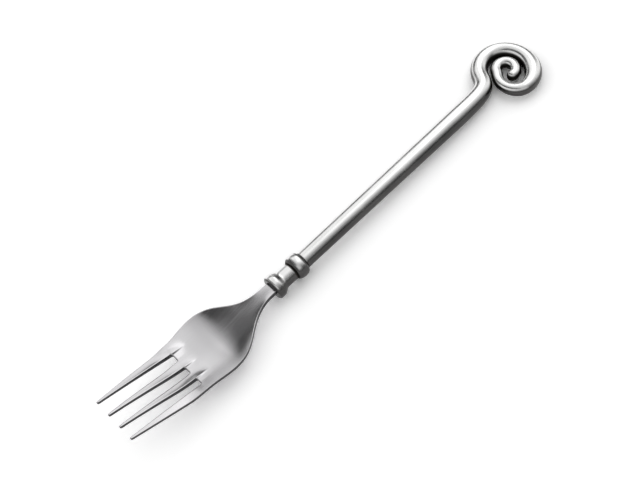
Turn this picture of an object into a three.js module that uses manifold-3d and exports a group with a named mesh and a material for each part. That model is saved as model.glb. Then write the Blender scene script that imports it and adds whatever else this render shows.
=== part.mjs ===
// Dessert fork: formed steel head, turned collar of two pieces, round handle ending in a flat scroll.
// Units are millimetres. The shank's axis is built along X with the tines at the negative end, then the whole
// fork is pitched so that the rear bead and the scroll rest on the plane z = 0.

import * as THREE from "three";
import { mergeVertices } from "three/addons/utils/BufferGeometryUtils.js";
import Module from "manifold-3d";

// Stations along the shank's axis
const TIP_X = -85;
const SLOT_ROOT_X = -61.3;
const PALM_X = -51.5;
const NECK_X = -30;
const COLLAR_FRONT_X = -28.4;
const BEAD_FRONT_X = -20.3;
const ROD_FRONT_X = -16.3;
const BEND_START_X = 51;
const SCROLL_X = 73.7;

// Head in plan
const TIP_HALF = 8.15;
const ROOT_HALF = 10.05;
const PALM_HALF = 11.15;
const NECK_HALF = 2.13;
const SHOULDER_PULL = 9.7;
const NECK_PULL = 11.2;
const SLOT_PITCH_ROOT = 5.5;
const SLOT_PITCH_TIP = 5.2;
const SLOT_HALF_ROOT = 1.2;
const SLOT_HALF_TIP = 2.22;
const SLOT_CORNER = 0.5;
const TIP_ROUND = 0.9;
const TIP_NARROWING = 0.18;

// Head in profile
const TIP_RISE = 4.95;
const RISE_START_X = -57.5;
const RISE_EASE = 11;
const PALM_EDGE_Z = 1.2;
const PALM_DISH = 2.3;
const TIP_DISH = 0.5;
const DISH_HOLD_X = -51;
const DISH_END_X = -25.5;
const SHOULDER_DIP = 0.55;
const SHOULDER_DIP_X = -38.5;
const SHOULDER_DIP_SPAN = 7;
const NECK_RISE = 0.3;
const NECK_THICK = 1.7;
const PALM_THICK = 1.45;
const TIP_THICK = 1.15;
const HEAD_EDGE = 0.32;
const FLUTE_DEPTH = 0.3;
const FLUTE_RUN = 5;

// Tang, seat and socket
const SEAT_DEPTH = 0.7;
const TANG_WIDTH = 2.2;
const TANG_THICK = 1.1;
const TANG_END_X = -13.4;
const NOTCH_DEPTH = 0.35;
const NOTCH_LENGTH = 1.3;
const NOTCH_X = -17.5;
const SPIGOT_R = 2;
const SPIGOT_FRONT_X = -25.6;
const SOCKET_R = 1.45;
const SOCKET_END_X = -12.6;
const FIT = 0.04;

// Collar
const BEAD_R = 3.86;
const FRONT_FACE_R = 3.05;
const FRONT_BEAD_LENGTH = 4.3;
const FRONT_SHOULDER = 0.8;
const WAIST_R = 2.75;
const CREVICE_R = 2.72;
const BEAD_FULLNESS = 0.62;

// Rod and scroll
const ROD_FRONT_R = 2.67;
const ROD_REAR_R = 3.08;
const ROD_EDGE = 0.2;
const BEND_PULL = 12;
const SCROLL_PULL = 5;
const SCROLL_Y = 0.2;
const OUTER_ALONG = 8.1;
const OUTER_ACROSS = 9.15;
const OUTER_LEAN = 0.65;
const INNER_ALONG = 3.15;
const INNER_ACROSS = 3.35;
const INNER_LEAN = 0.25;
const INNER_CLOSING = 0.15;
const INNER_SHIFT_X = 0.4;
const INNER_SHIFT_Y = 0.42;
const WIND_FROM = 150;
const WIND_START = 247;
const WIND_SPAN = 112;
const WIND_TOTAL = 607;
const TUBE_START_R = 2.75;
const TUBE_OUTER_R = 2.7;
const TUBE_INNER_R = 1.64;
const TUBE_DRAW_START = 180;
const TUBE_DRAW_SPAN = 130;
const REST_FLAT = 0.2;

// Fineness
const HEAD_ACROSS = 28;
const RING_SEGMENTS = 22;
const LATHE_SEGMENTS = 36;
const SCROLL_STEP = 9;
const BEND_STEPS = 12;

const wasm = await Module();
wasm.setup();

const clamp01 = (t) => Math.min(1, Math.max(0, t));
const smooth = (t) => clamp01(t) ** 2 * (3 - 2 * clamp01(t));
const lerp = (a, b, t) => a + (b - a) * t;
const radians = THREE.MathUtils.degToRad;

// Conversions between three.js geometry and solids

function solidOf(geometry) {
  const plain = geometry.clone();
  plain.deleteAttribute("normal");
  plain.deleteAttribute("uv");
  const merged = mergeVertices(plain, 1e-5);
  const mesh = new wasm.Mesh({
    numProp: 3,
    vertProperties: new Float32Array(merged.attributes.position.array),
    triVerts: new Uint32Array(merged.index.array),
  });
  return new wasm.Manifold(mesh);
}

function geometryOf(solid) {
  const mesh = solid.getMesh();
  const geometry = new THREE.BufferGeometry();
  geometry.setAttribute("position", new THREE.BufferAttribute(new Float32Array(mesh.vertProperties), 3));
  geometry.setIndex(new THREE.BufferAttribute(new Uint32Array(mesh.triVerts), 1));
  return geometry;
}

// A closed skin over a row of rings with equal numbers of points, with a fan over each end
function loft(rings) {
  const count = rings[0].length;
  const positions = [];
  const indices = [];
  for (const ring of rings) {
    for (const point of ring) {
      positions.push(point.x, point.y, point.z);
    }
  }
  for (let i = 0; i + 1 < rings.length; i += 1) {
    for (let j = 0; j < count; j += 1) {
      const a = i * count + j;
      const b = i * count + ((j + 1) % count);
      indices.push(a, b, b + count, a, b + count, a + count);
    }
  }
  for (const last of [false, true]) {
    const ring = last ? rings[rings.length - 1] : rings[0];
    const start = last ? (rings.length - 1) * count : 0;
    const middle = ring.reduce((sum, point) => sum.add(point), new THREE.Vector3()).divideScalar(count);
    const apex = positions.length / 3;
    positions.push(middle.x, middle.y, middle.z);
    for (let j = 0; j < count; j += 1) {
      const a = start + j;
      const b = start + ((j + 1) % count);
      indices.push(apex, last ? a : b, last ? b : a);
    }
  }
  const geometry = new THREE.BufferGeometry();
  geometry.setAttribute("position", new THREE.Float32BufferAttribute(positions, 3));
  geometry.setIndex(indices);
  return geometry;
}

function boxBetween(x0, x1, width, height, y = 0, z = 0) {
  const geometry = new THREE.BoxGeometry(x1 - x0, width, height);
  geometry.translate((x0 + x1) / 2, y, z);
  return solidOf(geometry);
}

function rodBetween(x0, x1, radius) {
  const geometry = new THREE.CylinderGeometry(radius, radius, x1 - x0, LATHE_SEGMENTS);
  geometry.rotateZ(-Math.PI / 2);
  geometry.translate((x0 + x1) / 2, 0, 0);
  return solidOf(geometry);
}

// Turned shape from (radius, x) points that begin and end on the axis
function turned(points) {
  const geometry = new THREE.LatheGeometry(points, LATHE_SEGMENTS);
  geometry.rotateZ(-Math.PI / 2);
  return solidOf(geometry);
}

// Head: outline in plan

const shoulder = new THREE.CubicBezierCurve(
  new THREE.Vector2(PALM_X, PALM_HALF),
  new THREE.Vector2(PALM_X + SHOULDER_PULL, PALM_HALF),
  new THREE.Vector2(NECK_X - NECK_PULL, NECK_HALF),
  new THREE.Vector2(NECK_X, NECK_HALF),
);

function shoulderHalf(x) {
  let low = 0;
  let high = 1;
  for (let step = 0; step < 30; step += 1) {
    const middle = (low + high) / 2;
    if (shoulder.getPoint(middle).x < x) {
      low = middle;
    } else {
      high = middle;
    }
  }
  return shoulder.getPoint((low + high) / 2).y;
}

// How much each side of a tine draws in where its tip is rounded
function tipNarrowing(x) {
  const q = clamp01(1 - (x - TIP_X) / TIP_ROUND);
  return TIP_NARROWING * (1 - Math.sqrt(1 - q * q));
}

const tineRun = (x) => clamp01((SLOT_ROOT_X - x) / (SLOT_ROOT_X - TIP_X));

function headHalf(x) {
  if (x >= NECK_X) {
    return NECK_HALF;
  }
  if (x >= PALM_X) {
    return shoulderHalf(x);
  }
  if (x >= SLOT_ROOT_X) {
    return lerp(ROOT_HALF, PALM_HALF, smooth((x - SLOT_ROOT_X) / (PALM_X - SLOT_ROOT_X)));
  }
  return lerp(ROOT_HALF, TIP_HALF, tineRun(x) ** 1.3) - tipNarrowing(x);
}

const slotPitch = (x) => lerp(SLOT_PITCH_ROOT, SLOT_PITCH_TIP, tineRun(x));
const slotHalf = (x) => lerp(SLOT_HALF_ROOT, SLOT_HALF_TIP, tineRun(x)) + tipNarrowing(x);

// Head: heights over the shank's axis

// The tines curve up over the first stretch and then run straight to the tips
function tineRise(x) {
  const run = Math.max(0, RISE_START_X - x);
  const eased = run < RISE_EASE ? run ** 2 / (2 * RISE_EASE) : run - RISE_EASE / 2;
  return (TIP_RISE * eased) / (RISE_START_X - TIP_X - RISE_EASE / 2);
}

function edgeHeight(x) {
  const neckTop = NECK_RISE + NECK_THICK / 2;
  return lerp(PALM_EDGE_Z, neckTop, smooth((x - PALM_X) / (NECK_X - PALM_X))) + tineRise(x);
}

// The edges of the sheet dip a little at the shoulders
const edgeDip = (x) => SHOULDER_DIP * (1 - smooth(Math.abs(x - SHOULDER_DIP_X) / SHOULDER_DIP_SPAN));

const climb = (x) => smooth((x - DISH_HOLD_X) / (DISH_END_X - DISH_HOLD_X));

function dishDepth(x) {
  if (x >= PALM_X) {
    return PALM_DISH * Math.max(0, 1 - climb(x) / climb(COLLAR_FRONT_X));
  }
  return lerp(PALM_DISH, TIP_DISH, smooth((PALM_X - x) / (PALM_X - TIP_X)));
}

function thickness(x) {
  if (x >= PALM_X) {
    return lerp(PALM_THICK, NECK_THICK, smooth((x - PALM_X) / (NECK_X - PALM_X)));
  }
  return lerp(PALM_THICK, TIP_THICK, smooth((PALM_X - x) / (PALM_X - TIP_X)));
}

function dishedHeight(x, y) {
  const across = Math.min(1, Math.abs(y) / Math.max(headHalf(x), NECK_HALF));
  return edgeHeight(x) - dishDepth(x) * (1 - across ** 2) - edgeDip(x) * across ** 2;
}

// Shallow valleys between the crowns of the tines, fading out in the palm
function fluteDepth(x, y) {
  const fade = smooth((SLOT_ROOT_X + FLUTE_RUN - x) / FLUTE_RUN);
  const wave = 0.5 + 0.5 * Math.cos((2 * Math.PI * y) / slotPitch(x));
  return Math.abs(y) > 1.5 * slotPitch(x) ? 0 : FLUTE_DEPTH * fade * wave;
}

function headRing(x) {
  const half = headHalf(x);
  const edge = Math.min(HEAD_EDGE, half * 0.3);
  const ring = [];
  const inner = half - edge;
  for (let i = 0; i <= HEAD_ACROSS; i += 1) {
    const y = lerp(inner, -inner, i / HEAD_ACROSS);
    ring.push(new THREE.Vector3(x, y, dishedHeight(x, y) - fluteDepth(x, y)));
  }
  ring.push(new THREE.Vector3(x, -half, dishedHeight(x, half) - edge));
  ring.push(new THREE.Vector3(x, -half, dishedHeight(x, half) - thickness(x) + edge));
  for (let i = 0; i <= HEAD_ACROSS; i += 2) {
    const y = lerp(-inner, inner, i / HEAD_ACROSS);
    ring.push(new THREE.Vector3(x, y, dishedHeight(x, y) - thickness(x)));
  }
  ring.push(new THREE.Vector3(x, half, dishedHeight(x, half) - thickness(x) + edge));
  ring.push(new THREE.Vector3(x, half, dishedHeight(x, half) - edge));
  return ring;
}

function spread(x0, x1, count) {
  return Array.from({ length: count }, (unused, i) => lerp(x0, x1, i / count));
}

function slotSolid(number) {
  const outline = new THREE.Shape();
  const beyond = TIP_X - 2;
  const stations = [
    ...spread(SLOT_ROOT_X - SLOT_CORNER, TIP_X + TIP_ROUND, 7),
    ...spread(TIP_X + TIP_ROUND, TIP_X, 4),
    TIP_X,
  ];
  const centre = (x) => number * slotPitch(x);
  outline.moveTo(SLOT_ROOT_X, centre(SLOT_ROOT_X) + SLOT_HALF_ROOT - SLOT_CORNER);
  for (const x of stations) {
    outline.lineTo(x, centre(x) + slotHalf(x));
  }
  outline.lineTo(beyond, centre(TIP_X) + slotHalf(TIP_X));
  outline.lineTo(beyond, centre(TIP_X) - slotHalf(TIP_X));
  for (const x of stations.reverse()) {
    outline.lineTo(x, centre(x) - slotHalf(x));
  }
  outline.lineTo(SLOT_ROOT_X, centre(SLOT_ROOT_X) - SLOT_HALF_ROOT + SLOT_CORNER);
  const depth = 2 * (TIP_RISE + PALM_DISH + PALM_THICK + 4);
  const geometry = new THREE.ExtrudeGeometry(outline, { depth, bevelEnabled: false, curveSegments: 4 });
  geometry.translate(0, 0, -depth / 2);
  return solidOf(geometry);
}

const NECK_END_X = COLLAR_FRONT_X + SEAT_DEPTH - FIT;

function buildHead() {
  const stations = [
    ...spread(TIP_X, TIP_X + TIP_ROUND, 3),
    ...spread(TIP_X + TIP_ROUND, SLOT_ROOT_X, 9),
    ...spread(SLOT_ROOT_X, PALM_X, 6),
    ...spread(PALM_X, NECK_X, 16),
    NECK_X,
    NECK_END_X,
  ];
  let head = solidOf(loft(stations.map(headRing)));
  for (const number of [-1, 0, 1]) {
    head = head.subtract(slotSolid(number));
  }
  let tang = boxBetween(NECK_X, TANG_END_X, TANG_WIDTH, TANG_THICK);
  for (const side of [-1, 1]) {
    const y = (side * TANG_WIDTH) / 2;
    tang = tang.subtract(boxBetween(NOTCH_X, NOTCH_X + NOTCH_LENGTH, 2 * NOTCH_DEPTH, 2 * TANG_THICK, y));
  }
  return head.add(tang);
}

// Collar

const point = (radius, x) => new THREE.Vector2(radius, x);

function arcPoints(cx, cr, rx, rr, from, to, count) {
  return Array.from({ length: count + 1 }, (unused, i) => {
    const angle = radians(lerp(from, to, i / count));
    return point(cr + rr * Math.sin(angle), cx + rx * Math.cos(angle));
  });
}

const beadEndX = COLLAR_FRONT_X + FRONT_BEAD_LENGTH;

function buildFerrule() {
  const shoulderX = COLLAR_FRONT_X + FRONT_SHOULDER;
  const rear = BEAD_FRONT_X - FIT;
  const crest = shoulderX + 0.9;
  const profile = [
    point(0, COLLAR_FRONT_X),
    ...arcPoints(shoulderX, FRONT_FACE_R, FRONT_SHOULDER, BEAD_R - FRONT_FACE_R, 180, 90, 5),
  ];
  for (let i = 0; i <= 7; i += 1) {
    const t = i / 7;
    profile.push(point(lerp(BEAD_R, WAIST_R, smooth(t)), lerp(crest, beadEndX, t)));
  }
  profile.push(point(WAIST_R, rear));
  profile.push(point(0, rear));
  const seatWidth = 2 * (NECK_HALF + FIT);
  const seatHeight = NECK_THICK + 2 * FIT;
  const seatEndX = COLLAR_FRONT_X + SEAT_DEPTH;
  const slotWidth = TANG_WIDTH + 2 * FIT;
  const slotHeight = TANG_THICK + 2 * FIT;
  return turned(profile)
    .subtract(rodBetween(SPIGOT_FRONT_X - FIT, rear + 1, SPIGOT_R + FIT))
    .subtract(boxBetween(COLLAR_FRONT_X - 1, seatEndX, seatWidth, seatHeight, 0, NECK_RISE))
    .subtract(boxBetween(COLLAR_FRONT_X, SPIGOT_FRONT_X + 1, slotWidth, slotHeight));
}

function buildRearBead() {
  const rear = ROD_FRONT_X - FIT;
  const middle = (BEAD_FRONT_X + rear) / 2;
  const reach = (rear - BEAD_FRONT_X) / 2;
  const profile = [point(0, BEAD_FRONT_X)];
  for (let i = 0; i <= 14; i += 1) {
    const t = lerp(-1, 1, i / 14);
    const round = (1 - t * t) ** (1 - BEAD_FULLNESS);
    profile.push(point(lerp(CREVICE_R, BEAD_R, round), middle + reach * t));
  }
  profile.push(point(0, rear));
  return turned(profile).subtract(rodBetween(BEAD_FRONT_X - 1, rear + 1, SPIGOT_R + FIT));
}

// Handle: shank, bend and scroll as one row of rings along one path

// The scroll is a little wider across the fork than along it, and its inner turn sits off centre
function scrollPoint(wound) {
  const draw = smooth((wound - WIND_START) / WIND_SPAN);
  const closing = INNER_CLOSING * clamp01((wound - WIND_START) / (WIND_TOTAL - WIND_START));
  const along = lerp(OUTER_ALONG, INNER_ALONG - closing, draw);
  const across = lerp(OUTER_ACROSS, INNER_ACROSS - closing, draw);
  const lean = lerp(OUTER_LEAN, INNER_LEAN, draw);
  const angle = radians(WIND_FROM - wound);
  const x = SCROLL_X + INNER_SHIFT_X * draw + along * Math.cos(angle) + lean * Math.sin(angle);
  const y = SCROLL_Y + INNER_SHIFT_Y * draw + across * Math.sin(angle);
  return new THREE.Vector3(x, y, 0);
}

function scrollHeading(wound) {
  return scrollPoint(wound + 0.5).sub(scrollPoint(wound - 0.5)).normalize();
}

function tubeRadius(wound) {
  const outer = lerp(TUBE_START_R, TUBE_OUTER_R, clamp01(wound / TUBE_DRAW_START));
  return lerp(outer, TUBE_INNER_R, smooth((wound - TUBE_DRAW_START) / TUBE_DRAW_SPAN));
}

function handlePath() {
  const stops = [
    { at: new THREE.Vector3(ROD_FRONT_X, 0, 0), radius: ROD_FRONT_R - ROD_EDGE, heading: 0 },
    { at: new THREE.Vector3(ROD_FRONT_X + ROD_EDGE, 0, 0), radius: ROD_FRONT_R, heading: 0 },
  ];
  for (let i = 1; i <= 4; i += 1) {
    const t = i / 4;
    const x = lerp(ROD_FRONT_X + ROD_EDGE, BEND_START_X, t);
    stops.push({ at: new THREE.Vector3(x, 0, 0), radius: lerp(ROD_FRONT_R, ROD_REAR_R, t), heading: 0 });
  }
  const bend = new THREE.CubicBezierCurve3(
    new THREE.Vector3(BEND_START_X, 0, 0),
    new THREE.Vector3(BEND_START_X + BEND_PULL, 0, 0),
    scrollPoint(0).addScaledVector(scrollHeading(0), -SCROLL_PULL),
    scrollPoint(0),
  );
  for (let i = 1; i < BEND_STEPS; i += 1) {
    const t = i / BEND_STEPS;
    const ahead = bend.getTangent(t);
    const radius = lerp(ROD_REAR_R, TUBE_START_R, t);
    stops.push({ at: bend.getPoint(t), radius, heading: Math.atan2(ahead.y, ahead.x) });
  }
  const winds = Math.ceil(WIND_TOTAL / SCROLL_STEP);
  for (let i = 0; i <= winds; i += 1) {
    const wound = (WIND_TOTAL * i) / winds;
    const ahead = scrollHeading(wound);
    stops.push({ at: scrollPoint(wound), radius: tubeRadius(wound), heading: Math.atan2(ahead.y, ahead.x) });
  }
  const end = stops[stops.length - 1];
  for (const angle of [30, 60, 80]) {
    const forward = end.radius * Math.sin(radians(angle));
    const at = end.at.clone();
    at.x += forward * Math.cos(end.heading);
    at.y += forward * Math.sin(end.heading);
    stops.push({ at, radius: end.radius * Math.cos(radians(angle)), heading: end.heading });
  }
  return stops;
}

function pathRing(stop) {
  const ring = [];
  for (let j = 0; j < RING_SEGMENTS; j += 1) {
    const angle = (2 * Math.PI * j) / RING_SEGMENTS - Math.PI / 2;
    const side = stop.radius * Math.cos(angle);
    const up = stop.radius * Math.sin(angle);
    const x = stop.at.x - side * Math.sin(stop.heading);
    const y = stop.at.y + side * Math.cos(stop.heading);
    ring.push(new THREE.Vector3(x, y, stop.at.z + up));
  }
  return ring;
}

// The fork rests on the rear bead and on a flat under the scroll and the end of the shank, in one plane
const beadMiddleX = (BEAD_FRONT_X + ROD_FRONT_X) / 2;
const restDrop = BEAD_R - (TUBE_START_R - REST_FLAT);
const restPitch = Math.atan2(restDrop, SCROLL_X - beadMiddleX);

function buildHandle() {
  const rod = solidOf(loft(handlePath().map(pathRing)));
  const spigot = rodBetween(SPIGOT_FRONT_X, ROD_FRONT_X + 1, SPIGOT_R);
  const socket = rodBetween(SPIGOT_FRONT_X - 1, SOCKET_END_X, SOCKET_R);
  const tableDepth = 4 * TUBE_START_R;
  const table = new THREE.BoxGeometry(2 * SCROLL_X, 6 * OUTER_ACROSS, tableDepth);
  table.translate(0, 0, -tableDepth / 2 - (TUBE_START_R - REST_FLAT));
  table.rotateY(-restPitch);
  table.translate(SCROLL_X, 0, 0);
  return rod.add(spigot).subtract(socket).subtract(solidOf(table));
}

function buildCement() {
  const tang = boxBetween(NECK_X, TANG_END_X + FIT, TANG_WIDTH + 2 * FIT, TANG_THICK + 2 * FIT);
  return rodBetween(SPIGOT_FRONT_X + FIT, SOCKET_END_X - FIT, SOCKET_R - FIT).subtract(tang);
}

// Assembly

const satinSteel = { color: 0xbfbfc2, metalness: 1, roughness: 0.38 };
const polished = { color: 0xd8d8d6, metalness: 1, roughness: 0.16 };
const resin = { color: 0x8d8577, metalness: 0, roughness: 0.7 };

const fork = new THREE.Group();
fork.name = "dessert_fork";

const pieces = [
  ["fork_head", buildHead(), satinSteel],
  ["ferrule", buildFerrule(), polished],
  ["rear_bead", buildRearBead(), polished],
  ["handle", buildHandle(), polished],
  ["tang_cement", buildCement(), resin],
];

const bounds = new THREE.Box3();
for (const [name, solid, look] of pieces) {
  const geometry = geometryOf(solid);
  geometry.rotateY(restPitch);
  geometry.computeBoundingBox();
  bounds.union(geometry.boundingBox);
  const mesh = new THREE.Mesh(geometry, new THREE.MeshStandardMaterial(look));
  mesh.name = name;
  fork.add(mesh);
}
const middle = bounds.getCenter(new THREE.Vector3());
for (const mesh of fork.children) {
  mesh.geometry.translate(-middle.x, -middle.y, -bounds.min.z);
  mesh.geometry.computeVertexNormals();
}

export default fork;
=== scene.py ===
import math

import bpy
from mathutils import Matrix, Vector
from mathutils.bvhtree import BVHTree
from mathutils.kdtree import KDTree


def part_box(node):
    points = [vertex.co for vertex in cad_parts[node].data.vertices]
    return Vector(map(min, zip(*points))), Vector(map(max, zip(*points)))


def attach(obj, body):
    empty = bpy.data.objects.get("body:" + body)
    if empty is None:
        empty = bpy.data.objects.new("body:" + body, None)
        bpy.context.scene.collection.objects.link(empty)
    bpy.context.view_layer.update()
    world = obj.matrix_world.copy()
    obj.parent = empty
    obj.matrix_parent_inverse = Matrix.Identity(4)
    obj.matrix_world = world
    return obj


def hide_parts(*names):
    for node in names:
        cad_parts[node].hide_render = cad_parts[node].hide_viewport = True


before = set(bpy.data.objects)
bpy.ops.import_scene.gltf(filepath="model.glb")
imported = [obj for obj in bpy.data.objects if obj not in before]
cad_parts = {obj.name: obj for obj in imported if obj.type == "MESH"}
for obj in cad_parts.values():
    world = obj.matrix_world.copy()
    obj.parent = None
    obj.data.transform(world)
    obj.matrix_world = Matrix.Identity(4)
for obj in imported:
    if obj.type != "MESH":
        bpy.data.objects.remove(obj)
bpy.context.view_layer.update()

# Sizes of the fork in millimetres, along the shank's axis with the tines at the negative end

TIP_X = -85
SLOT_ROOT_X = -61.3
PALM_X = -51.5
NECK_X = -30
COLLAR_FRONT_X = -28.4
BEAD_FRONT_X = -20.3
ROD_FRONT_X = -16.3
BEND_START_X = 51
SCROLL_X = 73.7

# Head in plan

TIP_HALF = 8.15
ROOT_HALF = 10.05
PALM_HALF = 11.15
NECK_HALF = 2.13
SHOULDER_PULL = 9.7
NECK_PULL = 11.2
TINE_TAPER = 1.3
SLOT_PITCH_ROOT = 5.5
SLOT_PITCH_TIP = 5.2
SLOT_HALF_ROOT = 1.2
SLOT_HALF_TIP = 2.22
SLOT_CORNER = 0.5
TIP_ROUND = 0.9
TIP_NARROWING = 0.18

# Head in height

TIP_RISE = 4.95
RISE_START_X = -57.5
RISE_EASE = 11
PALM_EDGE_Z = 1.2
PALM_DISH = 2.6
TIP_DISH = 0.5
DISH_HOLD_X = -50
DISH_TURN_X = -40.5
DISH_END_X = -24.5
SHOULDER_DIP = 0.55
SHOULDER_DIP_X = -38.5
SHOULDER_DIP_SPAN = 7
NECK_RISE = 0.3
NECK_THICK = 1.7
PALM_THICK = 1.45
TIP_THICK = 1.15
HEAD_EDGE = 0.32
HEAD_EDGE_SHARE = 0.28
UNDER_EDGE = 0.6
UNDER_EDGE_SHARE = 0.42
FLUTE_RUN = 5
FLUTE_LOW = 0.08
FLUTE_FOOT = 0.2
FLUTE_TOP = 0.56
FLUTE_FLOOR = 0.7
BRINK_OUT = 0.45
BRINK_IN = 0.05
FLUTE_AT_TIP = 0.2
FLUTE_ALONG_TINE = 0.9
TINE_LEVEL = 0.85
TINE_LEVEL_RUN = 6

# Joint between the head and the handle

SEAT_DEPTH = 0.7
TANG_WIDTH = 2.2
TANG_THICK = 1.1
TANG_END_X = -13.4
SPIGOT_R = 2
SPIGOT_FRONT_X = -25.6
SOCKET_R = 1.45
SOCKET_END_X = -12.6
FIT = 0.04
NECK_END_X = COLLAR_FRONT_X + SEAT_DEPTH - FIT

# Collar

BEAD_R = 3.86
FRONT_FACE_R = 3.05
FRONT_BEAD_LENGTH = 4.3
FRONT_SHOULDER = 0.8
FRONT_CREST = 0.9
WAIST_R = 2.75
WAIST_EDGE = 0.12
CREVICE_R = 2.72
BEAD_FULLNESS = 0.62

# Rod and scroll, with the winding in degrees

ROD_FRONT_R = 2.67
ROD_REAR_R = 3.08
ROD_EDGE = 0.2
BEND_PULL = 12
SCROLL_PULL = 5
SCROLL_Y = 0.2
OUTER_ALONG = 8.1
OUTER_ACROSS = 9.15
OUTER_LEAN = 0.65
INNER_ALONG = 3.15
INNER_ACROSS = 3.35
INNER_LEAN = 0.25
INNER_CLOSING = 0.15
INNER_SHIFT_X = 0.4
INNER_SHIFT_Y = 0.42
WIND_FROM = 150
WIND_START = 247
WIND_SPAN = 112
WIND_TOTAL = 607
TUBE_START_R = 2.75
TUBE_OUTER_R = 2.7
TUBE_INNER_R = 1.8
TUBE_DRAW_START = 180
TUBE_DRAW_SPAN = 130
REST_FLAT = 0.2

# Fineness of the meshes: counts of steps, shares, small lengths, and angles of sharp edges in degrees

TURN_STEPS = 96
FRONT_SHOULDER_STEPS = 14
FRONT_FALL_STEPS = 24
WAIST_STEPS = 12
BEAD_STEPS = 40
ROD_TURN_STEPS = 72
ROD_EDGE_STEPS = 4
ROD_STEPS = 40
ROD_CROWDING = 1.7
ROD_END_STEPS = 10
SHANK_STEPS = 90
BEND_STEPS = 32
SCROLL_STEPS = 200
TIP_ROWS = 9
TINE_ROWS = 34
CORNER_ROWS = 7
ROOT_ROWS = 6
ROOT_RUN = 1.2 * HEAD_EDGE
PALM_ROWS = 52
NECK_ROWS = 4
TINE_SPLITS = (0, 0.02, 0.06, 0.12, 0.2, 0.3, 0.4, 0.5, 0.6, 0.7, 0.78, 0.84, 0.87, 0.9, 0.93, 0.96, 0.98)
SLOT_SPLITS = (0, 0.07, 0.15, 0.25, 0.4, 0.55, 0.7, 0.85, 0.94)
HALVINGS = 40
EDGE_SAMPLE = 0.03
SAME_POINT = 0.0005
TINY = 0.001
LAYER_GAP = 1
CUT_PAST = 1
COLLAR_CREASE = 35
HANDLE_CREASE = 40
HEAD_CREASE = 50


def clamp01(t):
    return min(1.0, max(0.0, t))


def smooth(t):
    t = clamp01(t)
    return t * t * (3 - 2 * t)


def lerp(a, b, t):
    return a + (b - a) * t


def bezier(a, b, c, d, t):
    s = 1 - t
    return a * s ** 3 + b * (3 * s * s * t) + c * (3 * s * t * t) + d * t ** 3


def round_fall(t):
    """How far a quarter round of size 1 has fallen at t."""
    return 1 - math.sqrt(1 - t * t)


def steps(start, end, count, ease=False):
    """Places from the start up to the end, which is left out; with ease they begin close together."""
    out = []
    for i in range(count):
        t = i / count
        out.append(lerp(start, end, 1 - math.cos(t * math.pi / 2) if ease else t))
    return out


# The shank's frame is pitched so that the rear bead and the scroll lie on the table

METRES_PER_MM = 0.001
BEAD_MIDDLE_X = (BEAD_FRONT_X + ROD_FRONT_X - FIT) / 2
BEAD_TO_SCROLL = SCROLL_X - (BEAD_FRONT_X + ROD_FRONT_X) / 2
REST_PITCH = math.atan2(BEAD_R - (TUBE_START_R - REST_FLAT), BEAD_TO_SCROLL)
bead_low, bead_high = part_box("rear_bead")
bead_centre = (Vector(bead_low) + Vector(bead_high)) / 2
pitched = Matrix.Rotation(REST_PITCH, 4, "Y") @ Matrix.Scale(METRES_PER_MM, 4)
SHANK_TO_TABLE = Matrix.Translation(bead_centre - pitched @ Vector((BEAD_MIDDLE_X, 0, 0))) @ pitched


# Camera, at the photograph's place: degrees and millimetres, with the clip in metres

PHOTO_WIDTH_PX = 640
LENS_PX = 1000
CAMERA_AZ = -26.47
CAMERA_EL = 54.03
CAMERA_ROLL = -21.36
CAMERA_AWAY = 289.6
CAMERA_TARGET = (-8.06, -0.04, 5.0)
SENSOR_WIDTH = 36
CLIP_START = 0.01


def add_camera():
    az, el, roll = (math.radians(v) for v in (CAMERA_AZ, CAMERA_EL, CAMERA_ROLL))
    back = Vector((math.sin(az) * math.cos(el), -math.cos(az) * math.cos(el), math.sin(el)))
    level = Vector((math.cos(az), math.sin(az), 0))
    up = back.cross(level)
    right = level * math.cos(roll) + up * math.sin(roll)
    top = up * math.cos(roll) - level * math.sin(roll)
    turn = Matrix((right, top, back)).transposed()
    place = (Vector(CAMERA_TARGET) + back * CAMERA_AWAY) * METRES_PER_MM
    bpy.ops.object.camera_add(location=place, rotation=turn.to_euler())
    camera = bpy.context.object
    camera.name = "photo_camera"
    camera.data.sensor_width = SENSOR_WIDTH
    camera.data.lens = SENSOR_WIDTH * LENS_PX / PHOTO_WIDTH_PX
    camera.data.clip_start = CLIP_START
    bpy.context.scene.camera = camera


# Modelling helpers

def deselect():
    if bpy.context.mode != "OBJECT":
        bpy.ops.object.mode_set(mode="OBJECT")
    bpy.ops.object.select_all(action="DESELECT")


def pick(piece):
    deselect()
    piece.select_set(True)
    bpy.context.view_layer.objects.active = piece


def lay_down(piece, crease):
    """Shades the piece, and turns its millimetres on the shank into metres on the table."""
    pick(piece)
    bpy.ops.object.shade_smooth_by_angle(angle=math.radians(crease))
    piece.matrix_world = SHANK_TO_TABLE
    bpy.ops.object.transform_apply(location=True, rotation=True, scale=True)


def tidy_shell():
    bpy.ops.mesh.select_all(action="SELECT")
    bpy.ops.mesh.remove_doubles(threshold=SAME_POINT)
    bpy.ops.mesh.normals_make_consistent(inside=False)


def choose_faces():
    """Clears the selection of the mesh being shaped, so that single faces can be chosen next."""
    bpy.ops.object.mode_set(mode="EDIT")
    bpy.ops.mesh.select_mode(type="FACE")
    bpy.ops.mesh.select_all(action="DESELECT")
    bpy.ops.object.mode_set(mode="OBJECT")


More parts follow.
